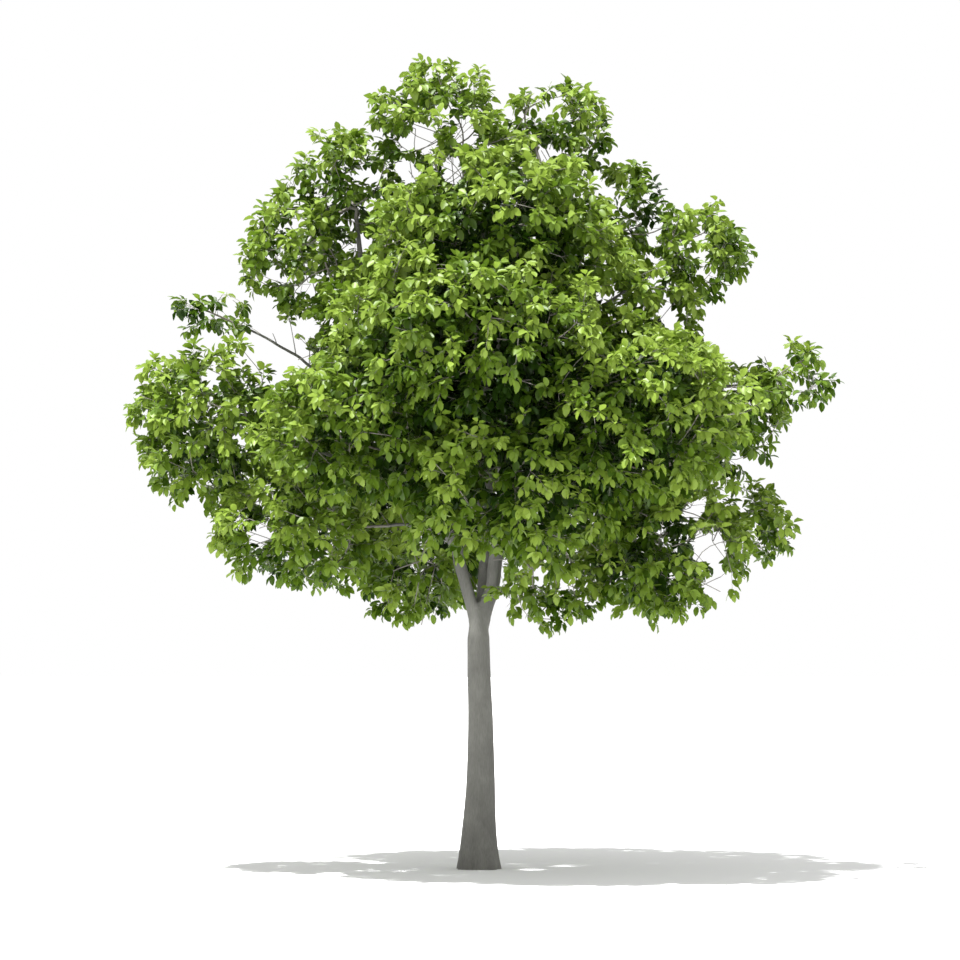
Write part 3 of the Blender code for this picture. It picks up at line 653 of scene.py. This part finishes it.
VOXEL = 0.009
SMOOTHING = 10
FORK_RANGE = (1.84, 2.16)  # heights between which the crotch is smoothed more
FORK_SMOOTHING = 40
TRUNK_HEIGHTS = np.linspace(-0.08, 1.93, 64)  # of its rings, from below the ground, where it is cut off flat
TRUNK_SIDES = 72
TRUNK_CLOSING = np.linspace(1, 0.7, 8)  # how its last rings narrow inside the fork
FORKED_TO = 2.75  # height up to which the leaders are one mesh with the trunk
FORKED_SIDES = 40
LEADER_LAP = 0.12  # how far below that their own mesh starts
LEADER_SIDES = 20
BOUGH_SIDES = 14
LIMB_STEP = 0.03  # between a limb's rings
COLLAR_SWELL = 0.35  # how much thicker a bough is where it leaves its leader
COLLAR_LENGTH = 0.10  # and the length over which most of that is lost
RELIEF = (  # depth, size across, size upwards and seed
    (0.0030, 0.11, 0.35, 3.0),  # soft swellings
    (0.0010, 0.020, 0.16, 7.0),  # ridges
    (0.0006, 0.009, 0.06, 5.0),  # grain
)
LEVEL_BELOW = 0.02  # height below which the relief moves nothing up or down
ROOTS = 5
ROOT_DEPTH = 0.010
ROOT_HEIGHT = 0.16  # over which most of it is lost
ROOT_TURN = 0.8  # where round the trunk they start, in radians
ROUGH_SIZE = 0.07  # of the swellings on leaders and boughs
ROUGH_DEPTH = 0.0022


def trunk_limb():
    heights = TRUNK_HEIGHTS
    radii = TRUNK_RADIUS - TRUNK_TAPER * heights + FLARE * np.exp(-heights / FLARE_HEIGHT)
    radii[-len(TRUNK_CLOSING):] *= TRUNK_CLOSING
    way_up = np.clip((heights - TRUNK_FOOT) / (FORK_HEART[2] - TRUNK_FOOT), 0, 1)
    shift = TRUNK_BOW * np.sin(math.pi * way_up)**2
    return Limb(np.stack((shift, heights * 0, heights), axis=1), radii)


def applied(made):
    """The object with its modifiers applied."""
    bpy.context.view_layer.update()
    graph = bpy.context.evaluated_depsgraph_get()
    mesh = bpy.data.meshes.new_from_object(made.evaluated_get(graph))
    made.modifiers.clear()
    made.data = mesh
    return made


def relief(place):
    """How far the bark stands out there: noise of several sizes, drawn out upwards."""
    return sum(depth * noise.noise(Vector((place[0] / wide + seed, place[1] / wide, place[2] / tall)))
               for depth, wide, tall, seed in RELIEF)


def roots_swell(place):
    """The root flare's buttresses, which die out upwards."""
    angle = math.atan2(place[1], place[0])
    swing = math.sin(ROOTS * angle + ROOT_TURN + math.sin(2 * angle))
    return ROOT_DEPTH * math.exp(-place[2] / ROOT_HEIGHT) * swing


def build_trunk(leaders, look):
    """The trunk and the leaders' lowest part in one mesh, so that the fork has no seams."""
    parts = [tube(trunk_limb(), TRUNK_SIDES)]
    for limb in leaders.values():
        low = limb.line[:, 2] < FORKED_TO
        parts.append(tube(refined(Limb(limb.line[low], limb.radii[low]), LIMB_STEP), FORKED_SIDES))
    made = piece("trunk_bark", *joined(parts), look)
    remesh = made.modifiers.new("remesh", "REMESH")
    remesh.mode = "VOXEL"
    remesh.voxel_size = VOXEL
    applied(made)
    fork = made.vertex_groups.new(name="fork")
    near = [v.index for v in made.data.vertices if FORK_RANGE[0] < v.co.z < FORK_RANGE[1]]
    fork.add(near, 1.0, "REPLACE")
    for name, rounds, group in (("even", SMOOTHING, ""), ("fork", FORK_SMOOTHING, "fork")):
        smooth = made.modifiers.new(name, "SMOOTH")
        smooth.iterations = rounds
        smooth.vertex_group = group
    applied(made)
    add_relief(made.data)
    cut_at_ground(made.data)
    return made


def add_relief(mesh):
    places = np.empty(len(mesh.vertices) * 3, np.float32)
    mesh.vertices.foreach_get("co", places)
    normals = np.empty(len(mesh.vertices) * 3, np.float32)
    mesh.vertices.foreach_get("normal", normals)
    places, normals = places.reshape(-1, 3), normals.reshape(-1, 3)
    rise = np.array([relief(place) + roots_swell(place) for place in places])
    upwards = np.clip(places[:, 2] / LEVEL_BELOW, 0, 1)
    places = places + normals * np.column_stack((rise, rise, rise * upwards))
    mesh.vertices.foreach_set("co", places.astype(np.float32).ravel())


def cut_at_ground(mesh):
    """Cuts the mesh off flat at z = 0, with a sharp edge round the cut."""
    bm = bmesh.new()
    bm.from_mesh(mesh)
    bmesh.ops.bisect_plane(bm, geom=[*bm.verts, *bm.edges, *bm.faces], dist=1e-5, plane_co=(0, 0, 0),
                           plane_no=(0, 0, 1), clear_inner=True)
    rim = [edge for edge in bm.edges if edge.is_boundary]
    bmesh.ops.holes_fill(bm, edges=rim)
    for face in bm.faces:
        face.smooth = True
    for edge in rim:
        edge.smooth = False
    bm.to_mesh(mesh)
    bm.free()
    mesh.update()


def build_leaders(leaders, look):
    """The leaders from just below the end of the trunk's mesh."""
    parts = []
    for limb in leaders.values():
        high = limb.line[:, 2] > FORKED_TO - LEADER_LAP
        above = refined(Limb(limb.line[high], limb.radii[high]), LIMB_STEP)
        parts.append(roughened(tube(above, LEADER_SIDES)))
    return piece("leader_bark", *joined(parts), look)


def build_boughs(boughs, look):
    """The boughs, each with a collar where it leaves its leader."""
    parts = []
    for limb in boughs.values():
        fine = refined(limb, LIMB_STEP)
        along = lengths_along(fine.line)
        fine.radii = fine.radii * (1 + COLLAR_SWELL * np.exp(-along / COLLAR_LENGTH))
        parts.append(roughened(tube(fine, BOUGH_SIDES)))
    return piece("bough_bark", *joined(parts), look)


def roughened(part):
    """The tube with its surface moved a little, for small swellings and scars."""
    vertices, faces = part
    shift = [noise.noise_vector(Vector(place) / ROUGH_SIZE) * ROUGH_DEPTH for place in vertices]
    return vertices + np.array(shift), faces


# ---------------------------------------------------------------------------- twigs, shoots and leaves

TWIG_STEP = 0.07  # between a twig's rings
TWIG_SIDES = ((0.008, 7), (0.0045, 5), (0.0, 4))  # (the radius above which they have them, how many)


def build_twigs(limbs, look):
    parts = []
    for limb in limbs:
        sides = next(sides for least, sides in TWIG_SIDES if limb.radii[0] > least)
        parts.append(tube(refined(limb, TWIG_STEP), sides))
    return piece("twigs", *joined(parts), look)


def build_shoots(shoots, look):
    share = np.linspace(0, 1, SHOOT_POINTS)
    lines = shoot_at(*columns(shoots[:, None]), share)
    radii = np.tile(np.interp(share, (0, 1), SHOOT_RADII), (len(shoots), 1))
    return piece("shoots", *tubes(lines, radii, SHOOT_SIDES), look)


def leaf_shape():
    """(ahead, across, faces) of a leaf of length 1: its midrib, its two sides and its stalk."""
    middle = [(0.0, 0.0), (LEAF_STATIONS[1], 0.0), (1.0, 0.0)]
    right = [(station, breadth * LEAF_WIDTH / 2) for station, breadth in zip(LEAF_STATIONS, LEAF_BREADTHS)]
    left = [(station, -across) for station, across in right]
    stalk = [(-PETIOLE, PETIOLE_HALF), (-PETIOLE, -PETIOLE_HALF), (PETIOLE_TIP, 0.0)]
    points = np.array(middle + right + left + stalk)
    halves = [(0, 1, 4, 3), (1, 2, 5, 4)]
    faces = halves + [tuple(corner + 3 if corner > 2 else corner for corner in face[::-1]) for face in halves]
    faces.append((9, 10, 11))
    return points[:, 0], points[:, 1], faces


def place_leaves(shoots):
    """(foot, ahead, up, size, shoot, share) of every leaf. They wind round their shoot, a golden angle apart,
    the last at its tip, and share is how far along the shoot each stands."""
    counts = np.maximum(LEAST_LEAVES, np.round(shoots[:, 6] / LEAF_STEP)).astype(int)
    shoot = np.repeat(np.arange(len(shoots)), counts)
    order = np.concatenate([np.arange(count) for count in counts])
    last = order == counts[shoot] - 1
    share = FIRST_LEAF + (1 - FIRST_LEAF) * ((order + 1) / counts[shoot])**LEAF_CLOSING
    origin, heading, length, sag = columns(shoots[shoot])
    foot = shoot_at(origin, heading, length, sag, share)
    along = unit(heading - UP * 2 * sag * share[:, None])
    level = unit(np.cross(along, UP))
    turn = (order * GOLDEN_ANGLE + shoot)[:, None]
    side = unit(level * np.cos(turn) + np.cross(level, along) * np.sin(turn) * RANKS)
    angle = np.where(last, TIP_ANGLE, SIDE_ANGLE * rng.uniform(*SIDE_SPREAD, len(shoot)))[:, None]
    slope = rng.uniform(*LEAF_DROOP, len(shoot)) + LEAF_HANG * np.maximum(0, -side[:, 2])
    ahead = unit(along * np.cos(angle) + side * np.sin(angle) - UP * slope[:, None])
    up = UP + unit(foot - CROWN_HEART) * LEAF_OUT
    up = unit(up - ahead * (up * ahead).sum(-1, keepdims=True))
    roll = rng.normal(0, LEAF_ROLL, len(shoot))[:, None]
    up = up * np.cos(roll) + np.cross(ahead, up) * np.sin(roll)
    size = LEAF_LENGTH * rng.uniform(1 - LEAF_SPREAD, 1 + LEAF_SPREAD, len(shoot))
    size *= np.where(share < LOW_LEAVES[0], LOW_LEAVES[1], 1.0) * np.where(last, TIP_SIZE, 1.0)
    kept = ~in_gap(foot + ahead * (GAP_TEST * size)[:, None], GAP_MARGIN)
    return tuple(values[kept] for values in (foot, ahead, up, size, shoot, share))


def crowding(places):
    """How closely the places stand round each of them, 1 on average."""
    places = places.astype(np.float32)
    found = [np.exp(-((places - place)**2).sum(1) / (2 * CROWD_SIZE**2)).sum() for place in places]
    return np.array(found) / np.mean(found)


def tone_of(shoots, shoot, share):
    """Index of each leaf's tone of painted light and shade. The leaves in the best light have the first, and
    crowding by other shoots is painted as shade.
    """
    # painted shade: the more crowded a shoot, the darker its leaves' tone
    crowded = np.maximum(crowding(shoots[:, :3]), LEAST_CROWDING)
    light = shoots[:, 8] - TONE_CROWDING * crowded + rng.normal(0, TONE_SPREAD, len(shoots))
    light = light[shoot] + TONE_ALONG * share
    rank = np.argsort(np.argsort(-light)) / len(light)
    return np.searchsorted(np.cumsum(TONE_SHARES)[:-1], rank, side="right")


def build_leaves(shoots, looks):
    """One piece of leaves for each tone of painted light and shade."""
    foot, ahead, up, size, shoot, share = place_leaves(shoots)
    tone = tone_of(shoots, shoot, share)
    x, y, faces = leaf_shape()
    fold = rng.uniform(*LEAF_FOLD, (len(foot), 1))
    curl = rng.uniform(*LEAF_CURL, (len(foot), 1))
    wave = rng.normal(0, LEAF_WAVE, (len(foot), len(x))) * (abs(y) > PETIOLE_HALF)
    z = fold * abs(y) - curl * np.maximum(x, 0)**2 + wave
    local = np.stack(np.broadcast_arrays(x + PETIOLE, y, z), axis=-1) * size[:, None, None]
    vertices = foot[:, None] + local @ np.stack((ahead, np.cross(up, ahead), up), axis=1)
    made = []
    for index, (name, look) in enumerate(looks.items()):
        chosen = vertices[tone == index]
        starts = np.arange(len(chosen))[:, None] * len(x)
        all_faces = [corners for face in faces for corners in (starts + np.array(face)).tolist()]
        made.append(piece(f"leaves_{name}", chosen.reshape(-1, 3), all_faces, look))
    return made


# ============================================================================ Materials

def new_material(name):
    made = bpy.data.materials.new(name)
    made.use_nodes = True
    tree = made.node_tree
    return made, tree, tree.nodes["Principled BSDF"]


def stretched(tree, scale):
    """Object coordinates, scaled along each axis."""
    place = tree.nodes.new("ShaderNodeTexCoord")
    mapping = tree.nodes.new("ShaderNodeMapping")
    mapping.inputs["Scale"].default_value = scale
    tree.links.new(place.outputs["Object"], mapping.inputs["Vector"])
    return mapping.outputs["Vector"]


def noise_of(tree, scale, detail, roughness=0.5):
    made = tree.nodes.new("ShaderNodeTexNoise")
    made.inputs["Scale"].default_value = 1.0
    made.inputs["Detail"].default_value = detail
    made.inputs["Roughness"].default_value = roughness
    tree.links.new(stretched(tree, scale), made.inputs["Vector"])
    return made.outputs["Fac"]


def ramp(tree, value, stops):
    made = tree.nodes.new("ShaderNodeValToRGB")
    elements = made.color_ramp.elements
    while len(elements) < len(stops):
        elements.new(0.5)
    for element, (place, colour) in zip(elements, stops):
        element.position = place
        element.color = (*colour, 1.0)
    tree.links.new(value, made.inputs["Fac"])
    return made.outputs["Color"]


def multiplied(tree, a, b):
    made = tree.nodes.new("ShaderNodeMix")
    made.data_type = "RGBA"
    made.blend_type = "MULTIPLY"
    made.inputs["Factor"].default_value = 1.0
    tree.links.new(a, made.inputs["A"])
    tree.links.new(b, made.inputs["B"])
    return made.outputs["Result"]


BLOTCHES = (9, 9, 5)  # about how many there are to a metre, across and upwards
BLOTCH_RANGE = (0.32, 0.68)  # the noise from the dark to the light colour
STREAKS = ((0.30, (0.80, 0.80, 0.79)), (0.62, (1.0, 1.0, 1.0)))
BARK_ROUGHNESS = ((0.2, (0.92,) * 3), (0.8, (0.70,) * 3))
BUMP_HEIGHT = 0.004
SPECULAR = 0.25
LEAF_ROUGHNESS = 0.42
LEAF_THROUGH = 0.30  # how much of a leaf's light comes through it
SMOOTH_BARK = {
    "dark": (0.122, 0.121, 0.109), "light": (0.160, 0.159, 0.144), "grain": (150, 150, 22), "bump": 0.35,
}
TWIG_BARK = {
    "dark": (0.16, 0.145, 0.12), "light": (0.26, 0.245, 0.22), "grain": (60, 60, 60), "bump": 0.3,
}


def bark_look(name, dark, light, grain, bump):
    """Grey bark: soft blotches, a low bump, and a grain as fine along each axis as its number says."""
    made, tree, shader = new_material(name)
    blotches = ramp(tree, noise_of(tree, BLOTCHES, detail=3), tuple(zip(BLOTCH_RANGE, (dark, light))))
    threads = noise_of(tree, grain, detail=5, roughness=0.6)
    streaks = ramp(tree, threads, STREAKS)
    tree.links.new(multiplied(tree, blotches, streaks), shader.inputs["Base Color"])
    tree.links.new(ramp(tree, threads, BARK_ROUGHNESS), shader.inputs["Roughness"])
    shader.inputs["Specular IOR Level"].default_value = SPECULAR
    lumps = tree.nodes.new("ShaderNodeBump")
    lumps.inputs["Strength"].default_value = bump
    lumps.inputs["Distance"].default_value = BUMP_HEIGHT
    tree.links.new(threads, lumps.inputs["Height"])
    tree.links.new(lumps.outputs["Normal"], shader.inputs["Normal"])
    return made


def leaf_look(name, colour):
    """A satin leaf that lets some light through."""
    made, tree, shader = new_material(name)
    shader.inputs["Base Color"].default_value = (*colour, 1.0)
    shader.inputs["Roughness"].default_value = LEAF_ROUGHNESS
    shader.inputs["Specular IOR Level"].default_value = SPECULAR
    through = tree.nodes.new("ShaderNodeBsdfTranslucent")
    through.inputs["Color"].default_value = (*colour, 1.0)
    both = tree.nodes.new("ShaderNodeMixShader")
    both.inputs["Fac"].default_value = LEAF_THROUGH
    tree.links.new(shader.outputs["BSDF"], both.inputs[1])
    tree.links.new(through.outputs["BSDF"], both.inputs[2])
    tree.links.new(both.outputs["Shader"], tree.nodes["Material Output"].inputs["Surface"])
    return made


# ============================================================================ Stage

AIM_HEIGHT = 2.88  # of the middle of the picture, at the trunk
FOCAL_PIXELS = 3500
PICTURE_PIXELS = 960
SENSOR = 36.0
FARTHEST = 1000.0  # that the camera sees
SUN_FROM = (-0.213, -0.10, 1.0)
SUN_STRENGTH = 9.5
SUN_ANGLE = math.radians(1.1)
SKY_STRENGTH = 1.0
FLOOR_SIZE = 400.0
FLOOR_TONE = 0.8
FLOOR_ROUGHNESS = 0.9


def build_stage():
    scene = bpy.context.scene
    camera = bpy.data.objects.new("camera", bpy.data.cameras.new("camera"))
    scene.collection.objects.link(camera)
    camera.data.sensor_width = SENSOR
    camera.data.lens = FOCAL_PIXELS / PICTURE_PIXELS * SENSOR
    camera.data.clip_end = FARTHEST
    camera.location = EYE
    camera.rotation_euler = (math.pi / 2 + math.atan((AIM_HEIGHT - EYE[2]) / -EYE[1]), 0, 0)
    scene.camera = camera

    sun = bpy.data.objects.new("sun", bpy.data.lights.new("sun", "SUN"))
    scene.collection.objects.link(sun)
    sun.data.energy = SUN_STRENGTH
    sun.data.angle = SUN_ANGLE
    sun.rotation_euler = Vector(SUN_FROM).to_track_quat("Z", "Y").to_euler()

    world = bpy.data.worlds.new("studio")
    world.use_nodes = True
    sky = world.node_tree.nodes["Background"]
    sky.inputs["Color"].default_value = (1.0, 1.0, 1.0, 1.0)
    sky.inputs["Strength"].default_value = SKY_STRENGTH
    scene.world = world

    bm = bmesh.new()
    bmesh.ops.create_grid(bm, x_segments=1, y_segments=1, size=FLOOR_SIZE / 2)
    mesh = bpy.data.meshes.new("floor")
    bm.to_mesh(mesh)
    bm.free()
    look, _, shader = new_material("floor")
    shader.inputs["Base Color"].default_value = (FLOOR_TONE, FLOOR_TONE, FLOOR_TONE, 1.0)
    shader.inputs["Roughness"].default_value = FLOOR_ROUGHNESS
    shader.inputs["Specular IOR Level"].default_value = 0.0
    mesh.materials.append(look)
    floor = bpy.data.objects.new("floor", mesh)
    scene.collection.objects.link(floor)
    scene.view_settings.view_transform = "Standard"


# ============================================================================ The tree

def main():
    build_stage()
    leaders, boughs, stems = shape_limbs()
    boughs = {name: wandering(bough) for name, bough in boughs.items()}
    carried_by = {leader.carries: leaders[name] for name, leader in LEADERS.items()}
    masses = []
    for name, stem in stems.items():
        carrier = boughs.get(name) or carried_by[name]
        masses.append(Foliage(name, stem, carrier.radii[-1]))
    shoots = np.vstack([mass.shoots for mass in masses])
    side_twigs = []
    for bough in boughs.values():
        twigs, rows = side_sprays(bough)
        side_twigs += twigs
        shoots = np.vstack((shoots, *rows))
    shoots = clear_of_gaps(shoots)

    bark = bark_look("smooth_bark", **SMOOTH_BARK)
    twig_bark = bark_look("twig_bark", **TWIG_BARK)
    leaf_looks = {name: leaf_look("leaf_" + name, colour) for name, colour in TONES.items()}

    trunk = build_trunk(leaders, bark)
    leader_bark = build_leaders(leaders, bark)
    bough_bark = build_boughs(boughs, bark)
    twigs = build_twigs([limb for mass in masses for limb in mass.twigs] + side_twigs, twig_bark)
    stalks = build_shoots(shoots, twig_bark)
    leaves = build_leaves(shoots, leaf_looks)

    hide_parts("trunk", *LEADERS)
    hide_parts(*LEADERS)
    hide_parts(*("bough_" + name for name in boughs))
    for made in (twigs, stalks, *leaves):
        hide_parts(*MASSES)
    for made in (trunk, leader_bark, bough_bark, twigs, stalks, *leaves):
        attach(made, "root")


main()
bpy.context.view_layer.update()
